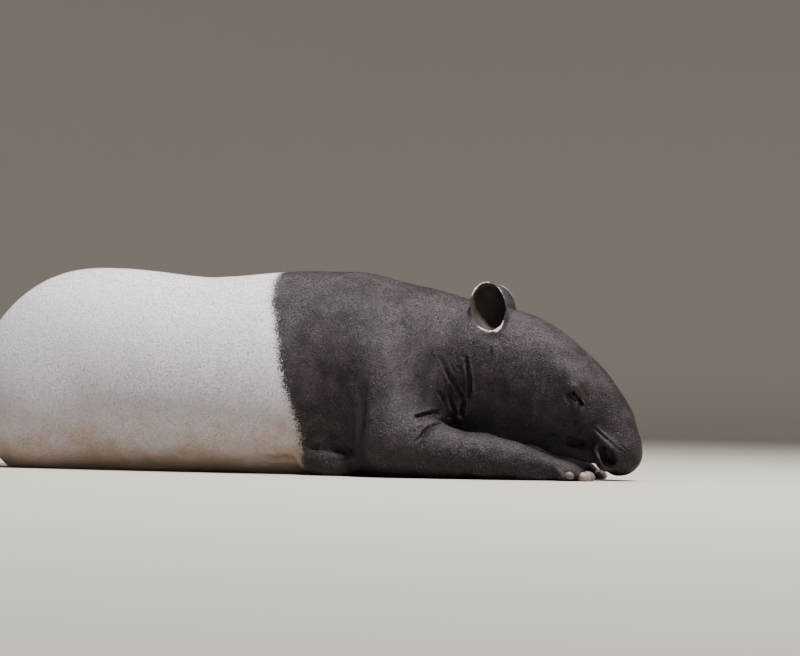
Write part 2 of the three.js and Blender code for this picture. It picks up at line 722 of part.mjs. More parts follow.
const jawBox = [[370, -100, under], [530, 100, 140]];
const jawEnds = [inFrontOf(jawRear), behind(jawFront), behind(mouthPart)];
addNode("snout", black, carve(headField, snoutBox, 4.5, 1720, [floor, inFrontOf(snoutPart)], [withoutJaw]));
addNode("lower_jaw", black, carve(headField, jawBox, 5, 500, [floor, ...jawEnds]));

// The origin goes to the middle of the tapir's own bounds on the floor
const bounds = new THREE.Box3().setFromObject(tapir);
const centre = bounds.getCenter(new THREE.Vector3());
for (const node of tapir.children) node.geometry.translate(-centre.x, -centre.y, 0);

export default tapir;
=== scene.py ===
"""A malayan tapir asleep on its chest, life size: one skin with its short coat, eyes and hooves."""
import math
from typing import NamedTuple

import bmesh
import bpy
import numpy as np
from mathutils import Matrix, Vector
from mathutils.bvhtree import BVHTree


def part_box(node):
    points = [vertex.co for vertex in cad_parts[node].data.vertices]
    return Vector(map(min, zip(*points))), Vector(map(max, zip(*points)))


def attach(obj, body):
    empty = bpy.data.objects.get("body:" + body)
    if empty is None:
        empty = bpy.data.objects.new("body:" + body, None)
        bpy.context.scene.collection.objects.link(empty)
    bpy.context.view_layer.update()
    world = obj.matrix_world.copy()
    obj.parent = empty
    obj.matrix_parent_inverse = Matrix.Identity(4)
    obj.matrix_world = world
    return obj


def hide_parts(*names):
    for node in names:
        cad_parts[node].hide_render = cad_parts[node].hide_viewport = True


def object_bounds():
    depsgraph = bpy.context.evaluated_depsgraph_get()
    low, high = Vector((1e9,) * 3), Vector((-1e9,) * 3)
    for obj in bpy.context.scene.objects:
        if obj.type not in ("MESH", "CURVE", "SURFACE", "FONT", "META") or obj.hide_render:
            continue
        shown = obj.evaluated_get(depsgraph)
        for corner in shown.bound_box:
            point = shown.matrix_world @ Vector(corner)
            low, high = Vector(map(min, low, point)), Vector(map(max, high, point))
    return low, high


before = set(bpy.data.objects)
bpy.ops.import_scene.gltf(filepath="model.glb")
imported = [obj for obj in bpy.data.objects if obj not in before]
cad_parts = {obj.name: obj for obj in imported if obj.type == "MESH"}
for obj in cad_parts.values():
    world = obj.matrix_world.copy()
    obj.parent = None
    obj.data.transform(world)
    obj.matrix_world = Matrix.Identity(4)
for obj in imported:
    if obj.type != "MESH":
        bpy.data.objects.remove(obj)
cad_low, cad_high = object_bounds()

# Places below are in millimetres, with the spine's line at y = 0 and x = 0 over the withers.
BARREL_REAR = -639.85
AT_ZERO = np.array([
    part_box("barrel")[0].x * 1000 - BARREL_REAR,
    (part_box("eye_left")[0].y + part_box("eye_right")[1].y) / 2 * 1000,
    0.0,
])
MIRROR = np.array([1, -1, 1])

TRUNK = ["rump", "barrel", "thigh_left", "chest", "neck"]
FACE = ["head", "snout", "lower_jaw", "eye_right", "eye_left"]
EARS = ["ear_right", "ear_left"]
FOREFEET = ["forefoot_right", "forefoot_left"]
FORELEGS = ["foreleg_right", "foreleg_left", *FOREFEET]
HIND_LEGS = ["shank_left", "hindfoot_left", "shank_right", "hindfoot_right"]
FLESH = [*TRUNK, *FACE, *EARS, *FORELEGS, *HIND_LEGS, "tail"]
HOOVES = [
    *(f"forehoof_{side}_{n}" for side in ("right", "left") for n in (1, 2, 3, 4)),
    *(f"hindhoof_{side}_{n}" for side in ("right", "left") for n in (1, 2, 3)),
]


def metres(points):
    """Places in millimetres as metres in the frame."""
    return (np.asarray(points, float) + AT_ZERO) / 1000


def millimetres(points):
    """Places in the frame as millimetres from the withers."""
    return np.asarray(points, float) * 1000 - AT_ZERO


def unit(vectors):
    """The vectors with a length of 1."""
    return vectors / np.maximum(np.linalg.norm(vectors, axis=-1, keepdims=True), 1e-12)


def ease(value, low, high):
    """0 below low, 1 above high, and smooth between."""
    t = np.clip((value - low) / (high - low), 0, 1)
    return t * t * (3 - 2 * t)


def between(value, start, full, fading, end):
    """1 from full to fading, 0 outside start and end, and smooth between."""
    return ease(value, start, full) * (1 - ease(value, fading, end))


# The camera's place, its angles and its lens.

CAMERA_AWAY, CAMERA_HEIGHT = 6000, 160
CAMERA_TURN, CAMERA_PITCH, CAMERA_ROLL = (math.radians(angle) for angle in (15, 1.91, 1))
CAMERA_LENS, CAMERA_FILM = 110.2, 36
CAMERA_NEAR, CAMERA_FAR = 0.1, 100


def add_camera():
    data = bpy.data.cameras.new("camera")
    data.sensor_width, data.lens = CAMERA_FILM, CAMERA_LENS
    data.clip_start, data.clip_end = CAMERA_NEAR, CAMERA_FAR
    camera = bpy.data.objects.new("camera", data)
    bpy.context.scene.collection.objects.link(camera)
    turn, pitch, roll = CAMERA_TURN, CAMERA_PITCH, CAMERA_ROLL
    level = Vector((math.cos(turn), math.sin(turn), 0))
    ahead = Vector((-math.sin(turn) * math.cos(pitch), math.cos(turn) * math.cos(pitch), math.sin(pitch)))
    upward = level.cross(ahead)
    right = level * math.cos(roll) + upward * math.sin(roll)
    up = upward * math.cos(roll) - level * math.sin(roll)
    place = metres([CAMERA_AWAY * math.sin(turn), -CAMERA_AWAY * math.cos(turn), CAMERA_HEIGHT])
    turned = Matrix((right, up, -ahead)).transposed().to_4x4()
    camera.matrix_world = Matrix.Translation(Vector(place)) @ turned
    bpy.context.scene.camera = camera


add_camera()


# Meshes. Corners closer than this, in metres, are merged.

MERGE_DISTANCE = 1e-5
BOX_MARGIN = [0.2, 0.2, 0]
WEIGHT_STEPS = 60


def new_object(name, data):
    """An object at the origin that holds a mesh or a light."""
    made = bpy.data.objects.new(name, data)
    bpy.context.scene.collection.objects.link(made)
    return made


def finish_piece(piece, material, nodes=()):
    """Gives a piece its material and its body, and hides the CAD nodes that it stands for."""
    piece.data.materials.append(material)
    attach(piece, "root")
    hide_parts(*nodes)


def joined_copy(names, name):
    """A mesh of copies of CAD nodes, their triangles merged at the corners."""
    shape = bmesh.new()
    for node in names:
        shape.from_mesh(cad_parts[node].data)
    bmesh.ops.remove_doubles(shape, verts=shape.verts, dist=MERGE_DISTANCE)
    return mesh_of(shape, name)


def mesh_of(shape, name):
    """A new mesh with the given shape, which is freed."""
    mesh = bpy.data.meshes.new(name)
    shape.to_mesh(mesh)
    shape.free()
    return mesh


def with_modifier(mesh, kind, weights=None, **settings):
    """The mesh after one modifier, which acts on each vertex by its weight if weights are given."""
    carrier = new_object("carrier", mesh)
    if weights is not None:
        group = carrier.vertex_groups.new(name="weights")
        levels = np.round(np.asarray(weights, float) * WEIGHT_STEPS).astype(int)
        for level in np.unique(levels):
            group.add(np.flatnonzero(levels == level).tolist(), level / WEIGHT_STEPS, "REPLACE")
        settings["vertex_group"] = "weights"
    modifier = carrier.modifiers.new(kind, kind)
    for key, value in settings.items():
        setattr(modifier, key, value)
    graph = bpy.context.evaluated_depsgraph_get()
    result = bpy.data.meshes.new_from_object(carrier.evaluated_get(graph))
    bpy.data.objects.remove(carrier)
    return result


def points_of(mesh):
    """The mesh's points in millimetres."""
    points = np.empty(len(mesh.vertices) * 3)
    mesh.vertices.foreach_get("co", points)
    return millimetres(points.reshape(-1, 3))


def set_points(mesh, points):
    """Moves the mesh's points to places in millimetres."""
    mesh.vertices.foreach_set("co", metres(points).ravel())
    mesh.update()


def normals_of(mesh):
    normals = np.empty(len(mesh.vertices) * 3)
    mesh.vertex_normals.foreach_get("vector", normals)
    return normals.reshape(-1, 3)


def edges_of(mesh):
    edges = np.empty(len(mesh.edges) * 2, int)
    mesh.edges.foreach_get("vertices", edges)
    return edges.reshape(-1, 2)


def triangles_of(mesh):
    mesh.calc_loop_triangles()
    corners = np.empty(len(mesh.loop_triangles) * 3, int)
    mesh.loop_triangles.foreach_get("vertices", corners)
    return corners.reshape(-1, 3)


def add_number(mesh, name, values):
    """Keeps one number for each vertex in the mesh, for its material."""
    layer = mesh.attributes.new(name, "FLOAT", "POINT")
    layer.data.foreach_set("value", np.asarray(values, np.float32))


def inside_box(points):
    """The points, none of them past the solids' own bounds."""
    low, high = millimetres([list(cad_low), list(cad_high)])
    return np.clip(points, low + BOX_MARGIN, high - BOX_MARGIN).clip([-np.inf, -np.inf, 0])


def keep_largest(mesh):
    """Drops every island of the mesh but the largest."""
    edges = edges_of(mesh)
    label = np.arange(len(mesh.vertices))
    while True:
        low = np.minimum(label[edges[:, 0]], label[edges[:, 1]])
        lower = label.copy()
        np.minimum.at(lower, edges[:, 0], low)
        np.minimum.at(lower, edges[:, 1], low)
        lower = lower[lower]
        if (lower == label).all():
            break
        label = lower
    main = np.bincount(label).argmax()
    if (label == main).all():
        return
    shape = bmesh.new()
    shape.from_mesh(mesh)
    bmesh.ops.delete(shape, geom=[v for v, at in zip(shape.verts, label) if at != main])
    shape.to_mesh(mesh)
    shape.free()


def smoothed(points, edges, weights, times):
    """Points drawn towards the mean of their neighbours, each by its own weight."""
    count = len(points)
    degree = np.bincount(edges.ravel(), minlength=count)[:, None]
    ends = np.concatenate([edges[:, 0], edges[:, 1]])
    others = np.concatenate([edges[:, 1], edges[:, 0]])
    points = points.copy()
    for _ in range(times):
        mean = np.stack([np.bincount(ends, points[others, k], count) for k in range(3)], 1) / degree
        points += (mean - points) * weights[:, None]
    return points


def node_finder():
    """A function that numbers, for each point, the flesh node whose surface is nearest."""
    corners, faces, owners = [], [], []
    for number, node in enumerate(FLESH):
        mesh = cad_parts[node].data
        start = len(corners)
        corners.extend(v.co.copy() for v in mesh.vertices)
        for polygon in mesh.polygons:
            faces.append([start + v for v in polygon.vertices])
            owners.append(number)
    tree = BVHTree.FromPolygons(corners, faces)
    owners = np.array(owners)

    def find(points):
        return owners[[tree.find_nearest(p)[2] for p in metres(points)]]

    return find


nearest_node = node_finder()


def on_nodes(owner, names):
    """Whether each point's node is among the names."""
    return np.isin(owner, [FLESH.index(n) for n in names])


# Ears. The rim lies in a plane that leans in towards the front and the top. Its white is full over the top,
# less along the bottom and faint elsewhere. Angles are in degrees round the cup, from straight ahead.

EAR_MIDDLES = {-1: 240, 1: 229}
EAR_HEIGHT = 406
RIM_OUT, RIM_LEVEL = 91, 402
RIM_LEAN_AHEAD, RIM_LEAN_UP = 0.06, 0.12
RIM_WIDTH = 2, 7
RIM_TOP, RIM_BOTTOM = (12, 38, 128, 160), (-130, -105, -50, -25)
BOTTOM_WHITE, REST_WHITE = 0.8, 0.15
CUP_RADII, CUP_EDGE = (46, 67), (0.98, 1.07)
CUP_AHEAD, CUP_OUT, CUP_HEIGHT = 1, 84, 408
CUP_FACING = 0.1
# Painted shade in the cup grows with depth past the rim and leans to the upper front, as the rim's painted
# shadow.
BRINK_DEPTH, BRINK_SHARE = (1.5, 6), 0.3
CUP_DEPTH, LOW_REAR_SHARE = (2, 28), 0.35
SHADE_SLOPE, SHADE_REACH = 0.9, 25


def ear_frame(points):
    """How far each point lies ahead of the middle of its ear, above it, and short of the rim's plane."""
    ahead = points[:, 0] - np.where(points[:, 1] < 0, EAR_MIDDLES[-1], EAR_MIDDLES[1])
    rim = RIM_OUT - RIM_LEAN_AHEAD * ahead - RIM_LEAN_UP * (points[:, 2] - RIM_LEVEL)
    return ahead, points[:, 2] - EAR_HEIGHT, rim - np.abs(points[:, 1])


def ear_rim(points, owner):
    """How white the rim of an ear is, from 0 off the rim to 1."""
    ahead, above, short = ear_frame(points)
    turn = np.degrees(np.arctan2(above, ahead))
    on_cup = 1 - ease(np.hypot(ahead / CUP_RADII[0], above / CUP_RADII[1]), *CUP_EDGE)
    white = np.maximum(between(turn, *RIM_TOP), BOTTOM_WHITE * between(turn, *RIM_BOTTOM))
    share = REST_WHITE + (1 - REST_WHITE) * white
    return on_nodes(owner, EARS) * (1 - ease(short, *RIM_WIDTH)) * share * on_cup


def ear_cup(points, normals, owner):
    """How much painted shade a point gets inside the cup of an ear, from 0 at the rim to 1: more the deeper
    it lies, and most towards the upper front, as the rim's painted shadow.
    """
    ahead, above, short = ear_frame(points)
    side = np.where(points[:, 1] < 0, -1, 1)
    height = np.full(len(points), CUP_HEIGHT)
    middle = np.stack([points[:, 0] - ahead + CUP_AHEAD, side * CUP_OUT, height], 1)
    inner = np.einsum("ij,ij->i", unit(middle - points), normals) > CUP_FACING
    upper_front = ease(ahead + SHADE_SLOPE * above, -SHADE_REACH, SHADE_REACH)
    deep = ease(short, *CUP_DEPTH) * (LOW_REAR_SHARE + (1 - LOW_REAR_SHARE) * upper_front)
    depth = BRINK_SHARE * ease(short, *BRINK_DEPTH) + (1 - BRINK_SHARE) * deep
    return on_nodes(owner, EARS) * inner * depth


# Markings, the same for skin and coat. The saddle's front edge is given by height and x. Black patches are
# under the tail and, as half an ellipse, round the hind leg on the far side. The tail is black at its tip.

SADDLE_EDGE = np.array([
    [510, -304], [494, -301], [425, -284], [378, -267], [321, -252], [257, -237], [202, -226],
    [162, -212], [112, -197], [57, -189], [0, -184],
])
EDGE_REACH = 60
TAIL_PATCH, TAIL_PATCH_RADIUS = (-1135, 0), 95
THIGH_PATCH, THIGH_PATCH_RADII = (-620, 30), (290, 190)
FAR_SIDE = 60
TAIL_TIP = 165


def saddle_at(points, owner):
    """How far inside the white saddle a point lies, from -1 in the black to 1 in the white."""
    x, y, z = points.T
    front = np.interp(z, SADDLE_EDGE[::-1, 0], SADDLE_EDGE[::-1, 1])
    off_tail_patch = np.hypot(x - TAIL_PATCH[0], z - TAIL_PATCH[1]) - TAIL_PATCH_RADIUS
    inside = np.minimum(front - x, off_tail_patch)
    long, high = THIGH_PATCH_RADII
    off_thigh_patch = (np.hypot((x - THIGH_PATCH[0]) / long, (z - THIGH_PATCH[1]) / high) - 1) * high
    far_thigh = on_nodes(owner, ["thigh_left", "rump"]) & (y > FAR_SIDE)
    inside = np.where(far_thigh, np.minimum(inside, off_thigh_patch), inside)
    inside = np.where(on_nodes(owner, HIND_LEGS), -EDGE_REACH, inside)
    inside = np.where(on_nodes(owner, ["tail"]), np.minimum(EDGE_REACH, z - TAIL_TIP), inside)
    inside = np.where(on_nodes(owner, EARS), EDGE_REACH * (2 * ear_rim(points, owner) - 1), inside)
    return np.clip(inside / EDGE_REACH, -1, 1)


# Paths of folds, each a curve with a place about every so many millimetres.

PATH_SPACING = 2.5


def along(points, path):
    """Each point's distance to a path, and the share of the path's length at its nearest place."""
    steps = path[1:] - path[:-1]
    lengths = np.maximum(np.linalg.norm(steps, axis=1), 1e-6)
    best = np.full(len(points), np.inf)
    share = np.zeros(len(points))
    run = 0.0
    for start, step, length in zip(path[:-1], steps, lengths):
        t = np.clip((points - start) @ step / length**2, 0, 1)
        foot = start + t[:, None] * step
        away = np.linalg.norm(points - foot, axis=1)
        closer = away < best
        best = np.where(closer, away, best)
        share = np.where(closer, (run + t * length) / lengths.sum(), share)
        run += length
    return best, share


def curved(path):
    """A smooth path through the given places."""
    path = np.asarray(path, float)
    ends = np.concatenate([[2 * path[0] - path[1]], path, [2 * path[-1] - path[-2]]])
    bits = []
    for k in range(len(path) - 1):
        p0, p1, p2, p3 = ends[k:k + 4]
        count = max(2, int(np.linalg.norm(p2 - p1) / PATH_SPACING))
        t = np.linspace(0, 1, count, endpoint=False)[:, None]
        bits.append(0.5 * (2 * p1 + (p2 - p0) * t + (2 * p0 - 5 * p1 + 4 * p2 - p3) * t**2
                           + (3 * p1 - p0 - 3 * p2 + p3) * t**3))
    return np.concatenate([*bits, path[-1:]])


def sides_of(path, mirrored=True):
    """The path, and its mirror image where the fold is on both sides."""
    path = np.asarray(path, float)
    return [path, path * MIRROR] if mirrored else [path]


def boxed(points, path, reach):
    """The numbers of the points in the path's box, grown by the reach."""
    return np.flatnonzero(((points > path.min(0) - reach) & (points < path.max(0) + reach)).all(1))


def near_folds(points, folds, widths, mirrored=True):
    """Whether each point lies within so many half widths of one of the folds."""
    near = np.zeros(len(points), bool)
    for path, width, *_ in folds:
        for side in sides_of(path, mirrored):
            spots = boxed(points, side, widths * width)
            near[spots[along(points[spots], side)[0] < widths * width]] = True
    return near


# A fold's reach, and its lips' distance and breadth, in its half widths. Shade is painted dark into its
# groove where the groove is deep.
FOLD_REACH, LIP_AWAY, LIP_BREADTH = 5, 2.0, 1.05
DARK_FROM, DARK_FULL = 0.2, 0.7


class Clay:
    """The skin while it is shaped: its points and normals, how much shade is painted in its folds, and how
    flushed it is.
    """

    def __init__(self, mesh):
        self.mesh = mesh
        self.points = points_of(mesh)
        self.faces = triangles_of(mesh)
        self.hollow = np.zeros(len(self.points))
        self.flush = np.zeros(len(self.points))
        self.refresh()

    def refresh(self):
        """Renews the mesh, the normals and the finder of the nearest place after the points have moved."""
        set_points(self.mesh, self.points)
        self.normals = normals_of(self.mesh)
        self.tree = BVHTree.FromPolygons(metres(self.points).tolist(), self.faces.tolist())

    def on_skin(self, path):
        """The path laid on the skin."""
        places = [self.tree.find_nearest(p)[0] for p in metres(curved(path))]
        return millimetres([list(p) for p in places])

    def fold(self, path, width, depth, lip=0.0, dark=0.0, flush=0.0, ends=0.22, mirrored=True):
        """Presses a groove between two lips along a path, or raises a ridge where the depth is negative.
        Shade is painted into the groove as dark as given.
        """
        for side in sides_of(path, mirrored):
            side = self.on_skin(side)
            near = boxed(self.points, side, FOLD_REACH * width)
            away, share = along(self.points[near], side)
            fade = ease(share, 0, ends) * ease(1 - share, 0, ends)
            groove = np.exp(-((away / width) ** 2))
            lips = np.exp(-(((away - LIP_AWAY * width) / (LIP_BREADTH * width)) ** 2))
            self.points[near] += self.normals[near] * ((lip * lips - depth * groove) * fade)[:, None]
            # Painted shade in the deep part of the groove.
            shade = dark * fade * ease(groove, DARK_FROM, DARK_FULL)
            self.hollow[near] = np.maximum(self.hollow[near], shade)
            self.flush[near] = np.maximum(self.flush[near], flush * fade * groove)

    def swell(self, centre, reach, amount):
        """Raises a soft mound on each side, or sinks a hollow where the amount is negative."""
        for side in sides_of([centre, centre]):
            away = (self.points - self.on_skin(side)[0]) / np.asarray(reach, float)
            self.points += self.normals * (amount * np.exp(-(away**2).sum(1)))[:, None]


# Each swell: its centre, its reach along x, y and z, and its height. They are the upper lid, the hollow under
# the eye and the cheek in front of it.
FACE_SWELLS = [
    ((450, -92, 221), (14, 16, 11), 4.4),
    ((444, -81, 156), (17, 20, 15), -6.5),
    ((478, -76, 150), (16, 18, 22), 2.0),
]
# The hollow before the ear, in the same way.
EAR_HOLLOW = (262, -104, 334), (26, 24, 11), -4.0

# Each fold: its path, its half width, its depth, the height of its lips and how dark the shade painted inside
# it is.
NECK_FOLDS = [
    ([(134, -140, 285), (141, -136, 276), (147, -133, 268)], 3.5, 3, 1.4, 0.75),
    ([(176, -127, 283), (178, -126, 271), (182, -124, 257)], 3.2, 3, 1.4, 0.75),
    ([(191, -124, 300), (197, -124, 286), (199, -124, 272), (201, -121, 257), (204, -116, 236),
      (204, -111, 213), (200, -107, 196), (192, -106, 184)], 3.4, 8, 2.6, 0.75),
    ([(143, -134, 274), (152, -129, 254), (160, -124, 238), (167, -119, 226), (175, -113, 209),
      (184, -109, 195), (189, -107, 182)], 3.4, 8, 2.6, 0.75),
    ([(153, -117, 206), (156, -113, 192), (160, -108, 176), (165, -104, 160),
      (173, -100, 148)], 3.4, 6, 2, 0.75),
    ([(190, -106, 186), (186, -104, 172), (183, -101, 158), (181, -98, 142)], 4.2, 9, 2, 0.75),
    ([(131, -139, 210), (137, -128, 199), (142, -119, 188), (149, -112, 177)], 3.4, 5, 1.8, 0.75),
    ([(166, -122, 252), (172, -118, 240), (179, -114, 226), (188, -110, 208)], 2.6, 3, 1.2, 0.75),
]
ELBOW_FOLDS = [
    ([(88, -243, 134), (101, -238, 142), (114, -229, 147), (124, -209, 151), (131, -169, 154),
      (137, -113, 155), (146, -105, 152)], 3.6, 9, 3.4, 0.75),
    ([(108, -263, 78), (116, -261, 88), (125, -256, 98), (133, -246, 112), (142, -233, 123),
      (152, -217, 128), (161, -181, 130)], 3.4, 7, 2.8, 0.75),
    ([(98, -262, 100), (108, -258, 110), (119, -250, 119), (131, -240, 128)], 2.8, 3, 1.4, 0.75),
    ([(153, -104, 152), (162, -101, 143), (161, -94, 129)], 4, 7, 2, 0.75),
]
BELLY_FOLDS = [
    ([(-179, -190, 62), (-140, -205, 66), (-108, -206, 66), (-69, -205, 62),
      (-45, -225, 52)], 9, 9, 4, 0.4),
    ([(-29, -239, 245), (-24, -244, 181), (-24, -247, 111), (-32, -224, 40)], 12, 5, 2, 0.4),
    ([(-293, -173, 40), (-262, -164, 34), (-207, -172, 28)], 8, 5, 2, 0.4),
]
EAR_FOLDS = [
    ([(250, -110, 322), (254, -114, 301), (247, -116, 280), (238, -116, 262)], 4, 3, 0.7, 0.3),
    ([(270, -104, 335), (279, -108, 318), (286, -111, 303)], 3.5, 1.6, 0.3, 0.3),
    ([(226, -110, 330), (214, -116, 312), (206, -120, 292)], 4.5, 1.6, 0.4, 0.3),
]
EYE_FOLDS = [
    ([(437, -90, 209), (443, -88, 200), (451, -87, 192), (459, -81, 185)], 1.9, 3.4, 1.6, 0.6),
    ([(460, -79, 185), (466, -81, 177), (471, -77, 172)], 1.8, 2.4, 1.0, 0.5),
    ([(460, -91, 236), (467, -90, 227), (473, -86, 217), (478, -82, 205),
      (482, -78, 193)], 5, 1.2, 0.9, 0),
    ([(432, -92, 203), (437, -88, 190), (446, -84, 180)], 3, 1.2, 0.8, 0),
]
MUZZLE_FOLDS = [
    ([(490, -62, 132), (499, -60, 123), (518, -62, 107), (537, -63, 92), (551, -61, 79),
      (563, -55, 69)], 2.6, 3, 1.2, 0.3),
    ([(557, -58, 76), (566, -54, 70), (574, -51, 63)], 2, 1.6, 0.8, 0.1),
    ([(556, -58, 68), (565, -54, 62), (574, -50, 55)], 2, 1.4, 0.7, 0.1),
    ([(560, -52, 84), (569, -48, 77), (578, -45, 69)], 2, 1.2, 0.6, 0),
    ([(412, -46, 108), (430, -40, 99), (448, -34, 91), (464, -31, 87), (478, -33, 81)], 2.4, 5, 1.5, 0.7),
    ([(486, -50, 84), (492, -50, 72), (497, -56, 57), (505, -56, 41), (515, -50, 25)], 3.0, 6, 1, 0.7),
]
# Paths of the folds and ridges that have no table: the lids, the nostrils and their rims.
LID_SLIT = [(440, -91, 216), (446, -89, 211), (451, -88, 207), (457, -78, 199), (464, -76, 190),
            (469, -75, 182), (474, -77, 172)]
ALAR_RIDGE = [(500, -58, 103), (512, -62, 96), (524, -65, 88), (541, -66, 76), (551, -61, 66), (563, -56, 54)]
NOSTRIL = [(516, -54, 80), (521, -50, 68), (529, -48, 56), (538, -46, 45), (548, -45, 38)]
NOSTRIL_RIM = [(507, -58, 75), (511, -59, 57), (517, -56, 41), (528, -49, 32), (540, -44, 26), (549, -38, 22)]
# The cleft under the tail, by the tail's own middle.
TAIL_CLEFT = [(-1150, 0, 250), (-1150, -4, 160), (-1120, -10, 90), (-1060, -18, 30)]


def shape_body(clay):
    """The hollow before each ear, the body's folds and the cleft under the tail."""
    clay.swell(*EAR_HOLLOW)
    for path, width, depth, lip, dark in NECK_FOLDS + ELBOW_FOLDS + EAR_FOLDS:
        clay.fold(path, width, depth, lip, dark)
    for path, width, depth, lip, dark in BELLY_FOLDS:
        clay.fold(path, width, depth, lip, dark, mirrored=False)
    tail_low, tail_high = (millimetres(list(corner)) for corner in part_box("tail"))
    middle = (tail_low[1] + tail_high[1]) / 2
    clay.fold(np.array(TAIL_CLEFT) + [0, middle, 0], width=11, depth=8, lip=5, mirrored=False)
    clay.refresh()


def shape_face(clay):
    """Lids, cheeks, nostrils, mouth and the wrinkles between them."""
    for swell in FACE_SWELLS:
        clay.swell(*swell)
    clay.refresh()
    # The lid's slit is painted fully dark, as shade.
    clay.fold(LID_SLIT, width=2.1, depth=7.5, lip=2.4, dark=1, ends=0.3)
    for path, width, depth, lip, dark in EYE_FOLDS + MUZZLE_FOLDS:
        clay.fold(path, width, depth, lip, dark)
    clay.refresh()
    clay.fold(ALAR_RIDGE, width=5.5, depth=-2.2)
    # The nostril is painted fully dark inside, as shade.
    clay.fold(NOSTRIL, width=3.2, depth=9, lip=1.0, dark=1, ends=0.25)
    clay.fold(NOSTRIL_RIM, width=4.0, depth=-2.0, flush=1)
    clay.refresh()


# Skin: its nodes grown a little so that they meet, remeshed, smoothed by part, thinned where it is plain and
# cut finer round the eyes, the muzzle and the deep folds. The voxel is in metres.

SEAM_OVERLAP = 0.4
SKIN_VOXEL = 0.0036
SKIN_FACES = 122000
SMOOTHING_ROUNDS = 110
LEG_WEIGHT, TRUNK_WEIGHT, FACE_WEIGHT, EAR_WEIGHT = 0.09, 0.6, 0.07, 0.05
FLOOR_SHARE, FLOOR_REACH = 0.15, 40
WEIGHT_ROUNDS, WEIGHT_BLEND = 10, 0.5
KEPT_WIDTHS, CUT_WIDTHS = 4, 2.2
EYE_PLACE, EYE_OUT = (455, 198), 55
EYE_REACH, EYE_CORE = 48, 30
MUZZLE_START, MUZZLE_TOP = 478, 180
FACE_START, FACE_TOP = 400, 260
FACE_BLEND, BODY_BLEND, BLEND_ROUNDS = 0.4, 0.05, 4
COAT_DEPTH, EAR_COAT_SHARE = 1.6, 0.4
INSET_FROM, INSET_FULL = 0.5, 25
CUP_BARE_FULL, CUP_BARE = 0.3, 0.9


def smoothing_weights(points, owner):
    """Strong on the trunk, light on the head, legs, ears and feet, and lighter near the floor."""
    weights = np.full(len(points), LEG_WEIGHT)
    weights[on_nodes(owner, TRUNK)] = TRUNK_WEIGHT
    weights[on_nodes(owner, FACE)] = FACE_WEIGHT
    weights[on_nodes(owner, EARS)] = EAR_WEIGHT
    return weights * (FLOOR_SHARE + (1 - FLOOR_SHARE) * ease(points[:, 2], 0, FLOOR_REACH))


def subdivided(mesh, chosen):
    """Cuts the faces round the chosen vertices in four."""
    shape = bmesh.new()
    shape.from_mesh(mesh)
    shape.verts.ensure_lookup_table()
    edges = [e for e in shape.edges if chosen[e.verts[0].index] or chosen[e.verts[1].index]]
    bmesh.ops.subdivide_edges(shape, edges=edges, cuts=1, use_grid_fill=True)
    bmesh.ops.triangulate(shape, faces=[f for f in shape.faces if len(f.verts) > 3])
    shape.to_mesh(mesh)
    shape.free()


def smooth_skin():
    """One smooth closed mesh round all the flesh, and each point's node."""
    mesh = joined_copy(FLESH, "skin")
    set_points(mesh, points_of(mesh) + normals_of(mesh) * SEAM_OVERLAP)
    mesh = with_modifier(mesh, "REMESH", mode="VOXEL", voxel_size=SKIN_VOXEL, adaptivity=0)
    keep_largest(mesh)
    points = points_of(mesh)
    owner = nearest_node(points)
    weights = np.stack([smoothing_weights(points, owner)] * 3, 1)
    weights = smoothed(weights, edges_of(mesh), np.full(len(points), WEIGHT_BLEND), WEIGHT_ROUNDS)[:, 0]
    return with_modifier(mesh, "SMOOTH", weights, factor=1.0, iterations=SMOOTHING_ROUNDS), owner


def thinned(mesh, owner):
    """The mesh with fewer faces on its plain parts."""
    points = points_of(mesh)
    fine = on_nodes(owner, FACE + EARS + FOREFEET + ["tail"])
    fine |= near_folds(points, NECK_FOLDS + ELBOW_FOLDS + EAR_FOLDS, KEPT_WIDTHS)
    fine |= near_folds(points, BELLY_FOLDS, KEPT_WIDTHS, mirrored=False)
    ratio = SKIN_FACES / len(triangles_of(mesh))
    return with_modifier(mesh, "DECIMATE", 1.0 - fine, decimate_type="COLLAPSE", ratio=ratio,
                         use_collapse_triangulate=True)


def refine(mesh):
    """Cuts the muzzle and the deep folds finer once and the eyes twice, then evens out the new faces."""
    for reach in (EYE_REACH, EYE_CORE):
        points = points_of(mesh)
        chosen = np.linalg.norm(points[:, [0, 2]] - EYE_PLACE, axis=1) < reach
        chosen &= np.abs(points[:, 1]) > EYE_OUT
        if reach == EYE_REACH:
            chosen |= (points[:, 0] > MUZZLE_START) & (points[:, 2] < MUZZLE_TOP)
            chosen |= near_folds(points, NECK_FOLDS + ELBOW_FOLDS, CUT_WIDTHS)
        subdivided(mesh, chosen)
    points = points_of(mesh)
    face = (points[:, 0] > FACE_START) & (points[:, 2] < FACE_TOP)
    set_points(mesh, smoothed(points, edges_of(mesh), np.where(face, FACE_BLEND, BODY_BLEND), BLEND_ROUNDS))


class Skin(NamedTuple):
    """The finished skin. Bare is 1 where no coat grows."""
    mesh: bpy.types.Mesh
    points: np.ndarray
    normals: np.ndarray
    triangles: np.ndarray
    owner: np.ndarray
    bare: np.ndarray


